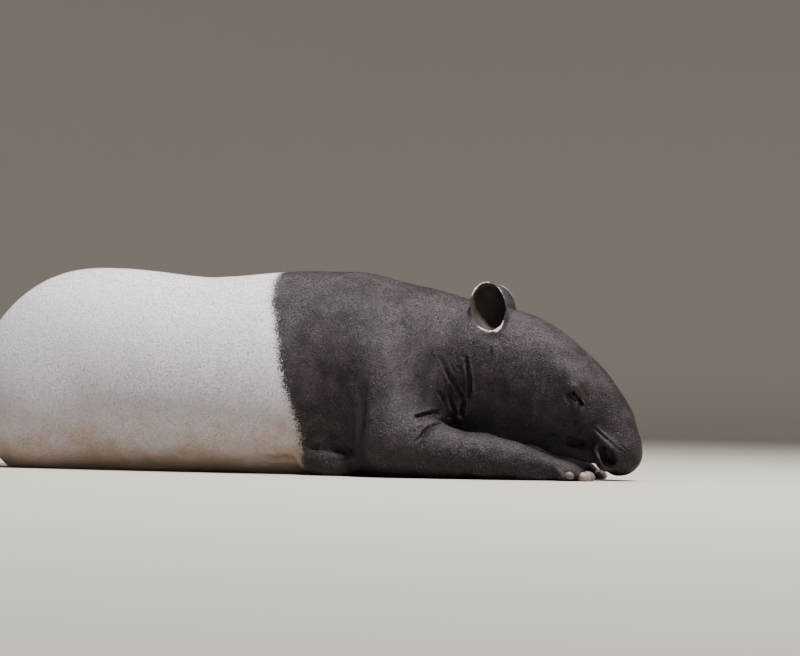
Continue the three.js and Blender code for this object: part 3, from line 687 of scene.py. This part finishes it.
def make_skin():
    """The skin with its folds, sunk by the coat's depth, and the numbers that its material reads."""
    mesh = thinned(*smooth_skin())
    refine(mesh)
    clay = Clay(mesh)
    shape_body(clay)
    shape_face(clay)
    owner = nearest_node(clay.points)
    inset = COAT_DEPTH * ease(clay.points[:, 2], INSET_FROM, INSET_FULL)
    inset[on_nodes(owner, EARS)] *= EAR_COAT_SHARE
    points = clay.points - clay.normals * inset[:, None]
    points[:, 2] = np.maximum(points[:, 2], 0.0)
    set_points(mesh, inside_box(points))
    points, normals = points_of(mesh), normals_of(mesh)
    cup = ear_cup(points, normals, owner)
    numbers = {"saddle": saddle_at(points, owner), "hollow": clay.hollow, "flush": clay.flush, "cup": cup}
    for name, values in numbers.items():
        add_number(mesh, name, values)
    mesh.shade_smooth()
    bare = np.maximum(clay.hollow, np.maximum(ease(cup, 0, CUP_BARE_FULL) * CUP_BARE, clay.flush))
    return Skin(mesh, points, normals, triangles_of(mesh), owner, np.clip(bare, 0, 1))


# Finishes.


class Wire:
    """An output of a node tree. Arithmetic on a number adds Math nodes."""

    def __init__(self, finish, socket):
        self.finish, self.socket = finish, socket

    def maths(self, operation, *values):
        return self.finish.node("ShaderNodeMath", {"operation": operation}, dict(enumerate(values)))

    def __add__(self, other):
        return self.maths("ADD", self, other)

    def __radd__(self, other):
        return self.maths("ADD", other, self)

    def __sub__(self, other):
        return self.maths("SUBTRACT", self, other)

    def __rsub__(self, other):
        return self.maths("SUBTRACT", other, self)

    def __mul__(self, other):
        return self.maths("MULTIPLY", self, other)

    def __rmul__(self, other):
        return self.maths("MULTIPLY", other, self)

    def ease(self, low, high):
        """0 below low, 1 above high, and smooth between."""
        settings = {"interpolation_type": "SMOOTHSTEP"}
        inputs = {"Value": self, "From Min": low, "From Max": high}
        return self.finish.node("ShaderNodeMapRange", settings, inputs)


class Finish:
    """A material, its nodes made by one method."""

    def __init__(self, name):
        self.material = bpy.data.materials.new(name)
        self.material.use_nodes = True
        self.tree = self.material.node_tree
        self.tree.nodes.clear()

    def node(self, kind, settings=None, inputs=None, output=0):
        made = self.tree.nodes.new(kind)
        for key, value in (settings or {}).items():
            setattr(made, key, value)
        for key, value in (inputs or {}).items():
            socket = made.inputs[key]
            if isinstance(value, Wire):
                self.tree.links.new(value.socket, socket)
            else:
                socket.default_value = value
        return Wire(self, made.outputs[output]) if made.outputs else None

    def number(self, name):
        """A number kept in the mesh."""
        return self.node("ShaderNodeAttribute", {"attribute_name": name}, output="Fac")

    def place(self, stretch=(1, 1, 1)):
        """Object coordinates, in metres times the stretch."""
        spot = self.node("ShaderNodeTexCoord", output="Object")
        return self.node("ShaderNodeMapping", {}, {"Vector": spot, "Scale": stretch})

    def noise(self, scale, detail=2.0, rough=0.5, stretch=(1, 1, 1)):
        inputs = {"Vector": self.place(stretch), "Scale": scale, "Detail": detail, "Roughness": rough}
        return self.node("ShaderNodeTexNoise", {}, inputs, "Fac")

    def height(self):
        """Height over the floor in metres."""
        return self.node("ShaderNodeSeparateXYZ", {}, {"Vector": self.place()}, "Z")

    def mix(self, share, first, second):
        """The second colour over the first, by its share. The node's colour sockets have only numbers."""
        inputs = {"Factor": share, 6: first, 7: second}
        return self.node("ShaderNodeMix", {"data_type": "RGBA"}, inputs, 2)

    def bump(self, height, strength, distance):
        inputs = {"Height": height, "Strength": strength, "Distance": distance}
        return self.node("ShaderNodeBump", {}, inputs)

    def surface(self, **inputs):
        """Closes the material with a surface whose inputs are given by name."""
        names = {key: key.replace("_", " ").title() for key in inputs}
        names["specular_ior_level"] = "Specular IOR Level"
        shader = self.node("ShaderNodeBsdfPrincipled", {}, {names[k]: v for k, v in inputs.items()})
        self.node("ShaderNodeOutputMaterial", {}, {"Surface": shader})
        return self.material


WHITE_COAT = (0.66, 0.63, 0.66, 1)
WHITE_LOW = (0.34, 0.24, 0.16, 1)
WHITE_SHADE = (0.50, 0.485, 0.53, 1)
WHITE_FLECK = (0.22, 0.20, 0.21, 1)
# The black coat, and a lighter copy of it painted where light would fall.
BLACK_COAT = (0.0055, 0.0042, 0.0054, 1)
BLACK_PAINTED_LIT = (0.0315, 0.0230, 0.0290, 1)
DUST = (0.40, 0.29, 0.22, 1)
BLACK_GLINT = (0.110, 0.088, 0.088, 1)
PAINTED_FOLD_SHADE = (0.0065, 0.0035, 0.0030, 1)
FLUSH = (0.050, 0.032, 0.029, 1)
EAR_INSIDE = (0.046, 0.035, 0.034, 1)
EAR_PAINTED_SHADE = (0.010, 0.0062, 0.0048, 1)
HORN_PALE = (0.15, 0.115, 0.105, 1), (0.30, 0.235, 0.215, 1)
HORN_GREY = (0.040, 0.033, 0.034, 1), (0.095, 0.080, 0.080, 1)
EYE_DARK = (0.004, 0.003, 0.0025, 1), (0.010, 0.007, 0.005, 1)

# Noise runs from 0 to 1 about 0.5. First come how far grain and patches move the saddle's edge and how soft
# it is. Then come the heights in metres where the white gets painted shade and dirt and the black gets
# painted light, the patches of that painted light, and where the flecks and painted glints of each kind start
# and are full, with their share there. Last are the painted shade inside the ears' cups, how flushed the
# nostrils are and how much the coat shines.
SADDLE_GRAIN, SADDLE_PATCHES, SADDLE_SOFT = 1.1, 0.3, (-0.10, 0.10)
WHITE_HEIGHTS, LIT_HEIGHTS, LIT_PATCHES = (0.10, 0.42), (-0.08, 0.26), (0.36, 0.66)
DIRT_TOP, DIRT_PATCHES, DIRT_BLOTCHES, DIRT_SOFT, DIRT_SHARE = 0.15, 0.2, 0.1, 0.14, 0.85
WHITE_FLECKS, WHITE_FLECK_SHARE = (0.52, 0.70), 0.6
BLACK_GLINTS, BLACK_GLINT_SHARE = (0.54, 0.72), 0.36
DUST_SPECKS, DUST_BLOTCHES, DUST_SHARE = (0.69, 0.76), 0.25, 0.5
TONE_FLECKS = 0.24
CUP_START, CUP_SHADE, CUP_MOTTLE = (0.0, 0.2), (0.55, 0.95), 0.3
FLUSH_SHARE = 0.8
COAT_SHINE, COAT_ROUGHNESS = 0.28, 0.46


def coat_colour(finish, tone):
    """White saddle and black ends, with the flecks of each, painted glints on the black and painted light and
    shade on both, from the mesh's own numbers.
    """
    grain = finish.noise(scale=340, rough=0.6)
    patches = finish.noise(scale=9, detail=3.0, rough=0.55)
    blotches = finish.noise(scale=26, detail=3.0, rough=0.6)
    fleck_and_glint = finish.noise(scale=400, rough=0.6, stretch=(0.8, 1, 0.7)) + (tone - 0.5) * TONE_FLECKS
    specks = finish.noise(scale=400, detail=1.0) + (blotches - 0.5) * DUST_BLOTCHES
    edge = finish.number("saddle") + (grain - 0.5) * SADDLE_GRAIN + (patches - 0.5) * SADDLE_PATCHES
    low = finish.height() * -1 + DIRT_TOP + (patches - 0.5) * DIRT_PATCHES + (blotches - 0.5) * DIRT_BLOTCHES
    pale = finish.mix(finish.height().ease(*WHITE_HEIGHTS), WHITE_SHADE, WHITE_COAT)
    pale = finish.mix(low.ease(0.0, DIRT_SOFT) * DIRT_SHARE, pale, WHITE_LOW)
    pale = finish.mix(fleck_and_glint.ease(*WHITE_FLECKS) * WHITE_FLECK_SHARE, pale, WHITE_FLECK)
    # Painted light on the black: lighter in soft patches and higher up. The darker black near the floor is
    # painted shade.
    lit = (patches * 0.5 + blotches * 0.5).ease(*LIT_PATCHES) * finish.height().ease(*LIT_HEIGHTS)
    dark = finish.mix(lit, BLACK_COAT, BLACK_PAINTED_LIT)
    # Painted glints: pale grains on the black stand for light caught on hair tips.
    dark = finish.mix(fleck_and_glint.ease(*BLACK_GLINTS) * BLACK_GLINT_SHARE, dark, BLACK_GLINT)
    dark = finish.mix(specks.ease(*DUST_SPECKS) * DUST_SHARE, dark, DUST)
    return finish.mix(edge.ease(*SADDLE_SOFT), dark, pale)


def skin_finish():
    """Skin under the coat, with painted shade in the ears' cups, the flushed nostrils and painted shade
    inside the folds.
    """
    finish = Finish("skin")
    cup = finish.number("cup")
    # Painted shade deep in the ears' cups, mottled.
    deep = (cup + finish.noise(scale=70, detail=3.0) * CUP_MOTTLE).ease(*CUP_SHADE)
    inside = finish.mix(deep, EAR_INSIDE, EAR_PAINTED_SHADE)
    colour = finish.mix(cup.ease(*CUP_START), coat_colour(finish, 0.5), inside)
    colour = finish.mix(finish.number("flush") * FLUSH_SHARE, colour, FLUSH)
    # Painted shade inside the folds, the lids' slits and the nostrils.
    colour = finish.mix(finish.number("hollow"), colour, PAINTED_FOLD_SHADE)
    hairs = finish.noise(scale=520, rough=0.6, stretch=(0.6, 1.2, 1))
    pores = finish.noise(scale=240, rough=0.6)
    relief = finish.bump(hairs * 0.6 + pores * 0.4, strength=0.9, distance=0.003)
    roughness = finish.noise(scale=60) * 0.2 + 0.42
    finish.surface(base_color=colour, roughness=roughness, normal=relief, specular_ior_level=COAT_SHINE)
    return finish.material


def coat_finish():
    finish = Finish("coat")
    colour = coat_colour(finish, finish.number("tone"))
    return finish.surface(base_color=colour, roughness=COAT_ROUGHNESS, specular_ior_level=COAT_SHINE)


def horn_finish():
    finish = Finish("hoof_horn")
    bands = finish.noise(scale=90, detail=3.0, rough=0.6, stretch=(1, 1, 2.5))
    colour = finish.mix(finish.number("tone"), finish.mix(bands, *HORN_GREY), finish.mix(bands, *HORN_PALE))
    relief = finish.bump(bands, strength=0.6, distance=0.002)
    return finish.surface(base_color=colour, roughness=bands * 0.2 + 0.45, normal=relief)


def eye_finish():
    finish = Finish("eye")
    colour = finish.mix(finish.noise(scale=160), *EYE_DARK)
    return finish.surface(base_color=colour, roughness=0.45, specular_ior_level=0.12)


# Coat. Each piece: its nodes, the number of its tufts, and their length and width.

HAIR = {
    "coat_rump": (["rump"], 49500, 5, 0.9),
    "coat_barrel": (["barrel"], 49500, 5, 0.9),
    "coat_thigh": (["thigh_left"], 20000, 4.6, 0.85),
    "coat_chest": (["chest"], 49500, 4.6, 0.85),
    "coat_neck": (["neck"], 26000, 4.2, 0.8),
    "coat_head": (["head", "eye_right", "eye_left"], 34000, 3.4, 0.65),
    "coat_muzzle": (["snout", "lower_jaw"], 9000, 2.6, 0.5),
    "coat_ears": (EARS, 7000, 3.8, 0.6),
    "coat_forelegs": (["foreleg_right", "foreleg_left"], 22000, 4.2, 0.8),
    "coat_forefeet": (["forefoot_right", "forefoot_left"], 6000, 3, 0.6),
    "coat_hind_legs": (HIND_LEGS, 16000, 4.6, 0.8),
    "coat_tail": (["tail"], 2500, 8, 0.9),
}
# The way the coat lies on each node.
LIE = {
    "rump": (-1, 0, -0.7), "barrel": (-1, 0, -0.45), "thigh_left": (-0.6, 0, -1), "chest": (-0.8, 0, -0.7),
    "neck": (-1, 0, -0.35), "head": (-1, 0, 0.45), "snout": (-0.7, 0, 0.7), "lower_jaw": (-1, 0, 0),
    "eye_right": (-1, 0, 0.3), "eye_left": (-1, 0, 0.3), "ear_right": (0, 0, 1), "ear_left": (0, 0, 1),
    "foreleg_right": (1, 0, -0.25), "foreleg_left": (1, 0, -0.25), "forefoot_right": (1, 0, -0.3),
    "forefoot_left": (1, 0, -0.3), "shank_left": (0.5, 0, -1), "hindfoot_left": (1, 0, -0.4),
    "shank_right": (1, 0, -0.4), "hindfoot_right": (1, 0, -0.3), "tail": (0, 0, -1),
}
# A tuft's root is under the skin and its back over it. Its lie strays, its length and width are shares of the
# table's, and its tip rises by a share of its length, less near the floor and never past the coat's depth.
TUFT_ROOT, TUFT_BACK = 0.2, 0.28
TUFT_STRAY = 0.16
TUFT_SPREAD = 0.7, 1.2
TUFT_RISE, RISE_FULL, RISE_MOST = (0.05, 0.16), 8, 0.95
SADDLE_STRAY = 0.12
TUFT_FACES = np.array([[0, 2, 1], [0, 1, 3], [1, 2, 3], [2, 0, 3]])
BAKE_PATCH, BAKE_EDGE = 0.003, 0.01


def unwrap(points):
    """Each point's place on its region, unrolled about the region's longest axis."""
    middle = points.mean(0)
    axes = np.linalg.svd(points - middle, full_matrices=False)[2]
    long, wide, deep = ((points - middle) @ axis for axis in axes)
    turn = np.arctan2(wide, deep) / (2 * math.pi) + 0.5
    length = (long - long.min()) / np.ptp(long)
    return np.stack([turn, length], 1) * (1 - 2 * BAKE_EDGE) + BAKE_EDGE


def scattered(skin, nodes, count, random):
    """Random places on the nodes' skin: their points, their normals and the numbers of their nodes."""
    chosen = skin.triangles[on_nodes(skin.owner[skin.triangles[:, 0]], nodes)]
    a, b, c = (skin.points[chosen[:, k]] for k in range(3))
    area = np.linalg.norm(np.cross(b - a, c - a), axis=1) * (1 - skin.bare[chosen[:, 0]])
    picked = chosen[random.choice(len(chosen), count, p=area / area.sum())]
    u, v = random.random((2, count))
    flip = u + v > 1
    u, v = np.where(flip, 1 - u, u), np.where(flip, 1 - v, v)
    shares = np.stack([1 - u - v, u, v], 1)[:, :, None]
    places, normals = ((values[picked] * shares).sum(1) for values in (skin.points, skin.normals))
    return places, unit(normals), skin.owner[picked[:, 0]]


def tuft_mesh(name, corners, roots):
    """One mesh of the tufts, each a slim closed spike of four corners, with a patch of its own to bake."""
    count = len(corners)
    loops = (TUFT_FACES[None] + 4 * np.arange(count)[:, None, None]).ravel()
    mesh = bpy.data.meshes.new(name)
    mesh.vertices.add(count * 4)
    mesh.vertices.foreach_set("co", metres(corners.reshape(-1, 3)).ravel())
    mesh.loops.add(len(loops))
    mesh.loops.foreach_set("vertex_index", loops)
    mesh.polygons.add(count * 4)
    mesh.polygons.foreach_set("loop_start", np.arange(0, len(loops), 3))
    mesh.update(calc_edges=True)
    patch = np.array([[0, 0], [1, 0], [0.5, 0.5], [0.5, 1]]) * BAKE_PATCH
    spot = unwrap(roots)[:, None] + patch[None]
    layer = mesh.uv_layers.new(name="OFBake")
    layer.data.foreach_set("uv", np.clip(spot.reshape(-1, 2)[loops], 0, 1).ravel())
    return mesh


def add_tufts(name, skin, material, random):
    """Short tufts that lie along the body."""
    nodes, count, length, width = HAIR[name]
    roots, out, node = scattered(skin, nodes, count, random)
    lie = np.array([LIE[n] for n in FLESH], float)[node]
    lie = lie + random.normal(0, TUFT_STRAY, lie.shape)
    lie = unit(lie - out * np.einsum("ij,ij->i", lie, out)[:, None])
    across = np.cross(out, lie)
    long = length * random.uniform(*TUFT_SPREAD, (count, 1))
    wide = width * random.uniform(*TUFT_SPREAD, (count, 1))
    rise = random.uniform(*TUFT_RISE, (count, 1)) * long * ease(roots[:, 2:], 0, RISE_FULL)
    base = roots - out * TUFT_ROOT
    corners = np.stack([
        base - across * wide / 2, base + across * wide / 2, base + out * (TUFT_ROOT + TUFT_BACK),
        roots + lie * long + out * np.minimum(rise, COAT_DEPTH * RISE_MOST),
    ], 1)
    mesh = tuft_mesh(name, inside_box(corners), roots)
    saddle = saddle_at(roots, node) + random.normal(0, SADDLE_STRAY, count)
    add_number(mesh, "saddle", np.repeat(saddle, 4))
    add_number(mesh, "tone", np.repeat(random.uniform(0, 1, count), 4))
    finish_piece(new_object(name, mesh), material)


# Eyes and hooves. An eyeball is sunk under the height where the top third of its lid begins. A hoof's tone
# goes from dark grey horn at 0 to pale horn at 1.

EYE_RADIUS, EYE_SUNK = 17.0, 5.0
LID_REACH, LID_TOP_PART = 26, 3
EYE_SEGMENTS, EYE_RINGS = 48, 24
HOOF_VOXEL = 0.0013
HOOF_ROUNDS, HOOF_BLEND = 12, 0.5
HOOF_TONE = 0.12
PALE_HOOVES = {
    "forehoof_right_3": 0.7, "forehoof_right_2": 0.3, "forehoof_left_3": 0.5, "hindhoof_right_2": 0.4,
}


def add_eye(node, turned, skin, material):
    """The eyeball behind the closed lids: only a dark line of it shows in the slit."""
    middle = np.array(LID_SLIT[3]) * turned
    around = np.linalg.norm(skin.points - middle, axis=1) < LID_REACH
    outward = unit(skin.normals[around].mean(0))
    lid = np.sort((skin.points[around] - middle) @ outward)[-around.sum() // LID_TOP_PART]
    centre = middle + outward * (lid - EYE_SUNK - EYE_RADIUS)
    ball = bmesh.new()
    bmesh.ops.create_uvsphere(ball, u_segments=EYE_SEGMENTS, v_segments=EYE_RINGS, radius=EYE_RADIUS / 1000)
    bmesh.ops.translate(ball, verts=ball.verts, vec=Vector(metres(centre)))
    name = node.replace("eye", "eyeball")
    mesh = mesh_of(ball, name)
    mesh.shade_smooth()
    finish_piece(new_object(name, mesh), material, [node])


def add_hoof(node, material):
    """A hoof with its edges rounded."""
    mesh = joined_copy([node], node + "_horn")
    mesh = with_modifier(mesh, "REMESH", mode="VOXEL", voxel_size=HOOF_VOXEL, adaptivity=0)
    points = points_of(mesh)
    points = smoothed(points, edges_of(mesh), np.full(len(points), HOOF_BLEND), HOOF_ROUNDS)
    points[:, 2] = np.maximum(points[:, 2], 0)
    set_points(mesh, points)
    add_number(mesh, "tone", np.full(len(points), PALE_HOOVES.get(node, HOOF_TONE)))
    mesh.shade_smooth()
    finish_piece(new_object(node + "_horn", mesh), material, [node])


coat = coat_finish()
skin = make_skin()
skin_piece = new_object("skin", skin.mesh)
finish_piece(skin_piece, skin_finish(), [n for n in FLESH if not n.startswith("eye")])
draws = np.random.default_rng(11)
for coat_name in HAIR:
    add_tufts(coat_name, skin, coat, draws)
horn = horn_finish()
eye_dark = eye_finish()
for hoof in HOOVES:
    add_hoof(hoof, horn)
add_eye("eye_right", 1, skin, eye_dark)
add_eye("eye_left", MIRROR, skin, eye_dark)


# Studio, in metres. The stage's profile is turned about the upright axis. Each light: its place, its size,
# its power and its colour.

STAGE_PROFILE = [(0, 0), (4, 0), (10.2, 0), (11.2, 0.15), (11.9, 0.6), (12.2, 1.4), (12.2, 7)]
STAGE_DROP = 0.0005
STAGE_STEPS, STAGE_MERGE = 96, 1e-4
STAGE_COLOUR = (0.40, 0.375, 0.335, 1)
LIGHTS_AIM = Vector((0, 0, 0.25))
LIGHTS = {
    "key_light": ((2.4, -1.5, 5.8), 0.7, 1150, (1.0, 0.945, 0.90)),
    "fill_light": ((-4.5, -4.5, 2.6), 3.0, 22, (0.84, 0.90, 1.0)),
    "top_light": ((-1.6, 0.4, 4.4), 2.0, 190, (1.0, 0.97, 0.95)),
}
SKY_COLOUR, SKY_STRENGTH = (0.84, 0.90, 1.0, 1), 0.1


def add_stage():
    """A pale floor that curves up into a wall all round, past every camera."""
    dish = bmesh.new()
    places = [dish.verts.new((away, 0, height - STAGE_DROP)) for away, height in STAGE_PROFILE]
    edges = [dish.edges.new(pair) for pair in zip(places, places[1:])]
    bmesh.ops.spin(dish, geom=[*places, *edges], axis=(0, 0, 1), cent=(0, 0, 0), angle=2 * math.pi,
                   steps=STAGE_STEPS, use_merge=True)
    bmesh.ops.remove_doubles(dish, verts=dish.verts, dist=STAGE_MERGE)
    bmesh.ops.recalc_face_normals(dish, faces=dish.faces)
    if sum(face.normal.z * face.calc_area() for face in dish.faces) < 0:
        bmesh.ops.reverse_faces(dish, faces=dish.faces)
    mesh = mesh_of(dish, "studio_floor")
    mesh.shade_smooth()
    floor = new_object("studio_floor", mesh)
    floor.data.materials.append(Finish("studio_floor").surface(base_color=STAGE_COLOUR, roughness=0.95))


def add_light(name, place, size, power, colour):
    data = bpy.data.lights.new(name, "AREA")
    data.shape, data.size, data.energy, data.color = "DISK", size, power, colour
    light = new_object(name, data)
    turned = (LIGHTS_AIM - Vector(place)).to_track_quat("-Z", "Y").to_matrix().to_4x4()
    light.matrix_world = Matrix.Translation(Vector(place)) @ turned


add_stage()
for light_name, light_settings in LIGHTS.items():
    add_light(light_name, *light_settings)
world = bpy.data.worlds.new("studio")
bpy.context.scene.world = world
world.use_nodes = True
world.node_tree.nodes["Background"].inputs["Color"].default_value = SKY_COLOUR
world.node_tree.nodes["Background"].inputs["Strength"].default_value = SKY_STRENGTH
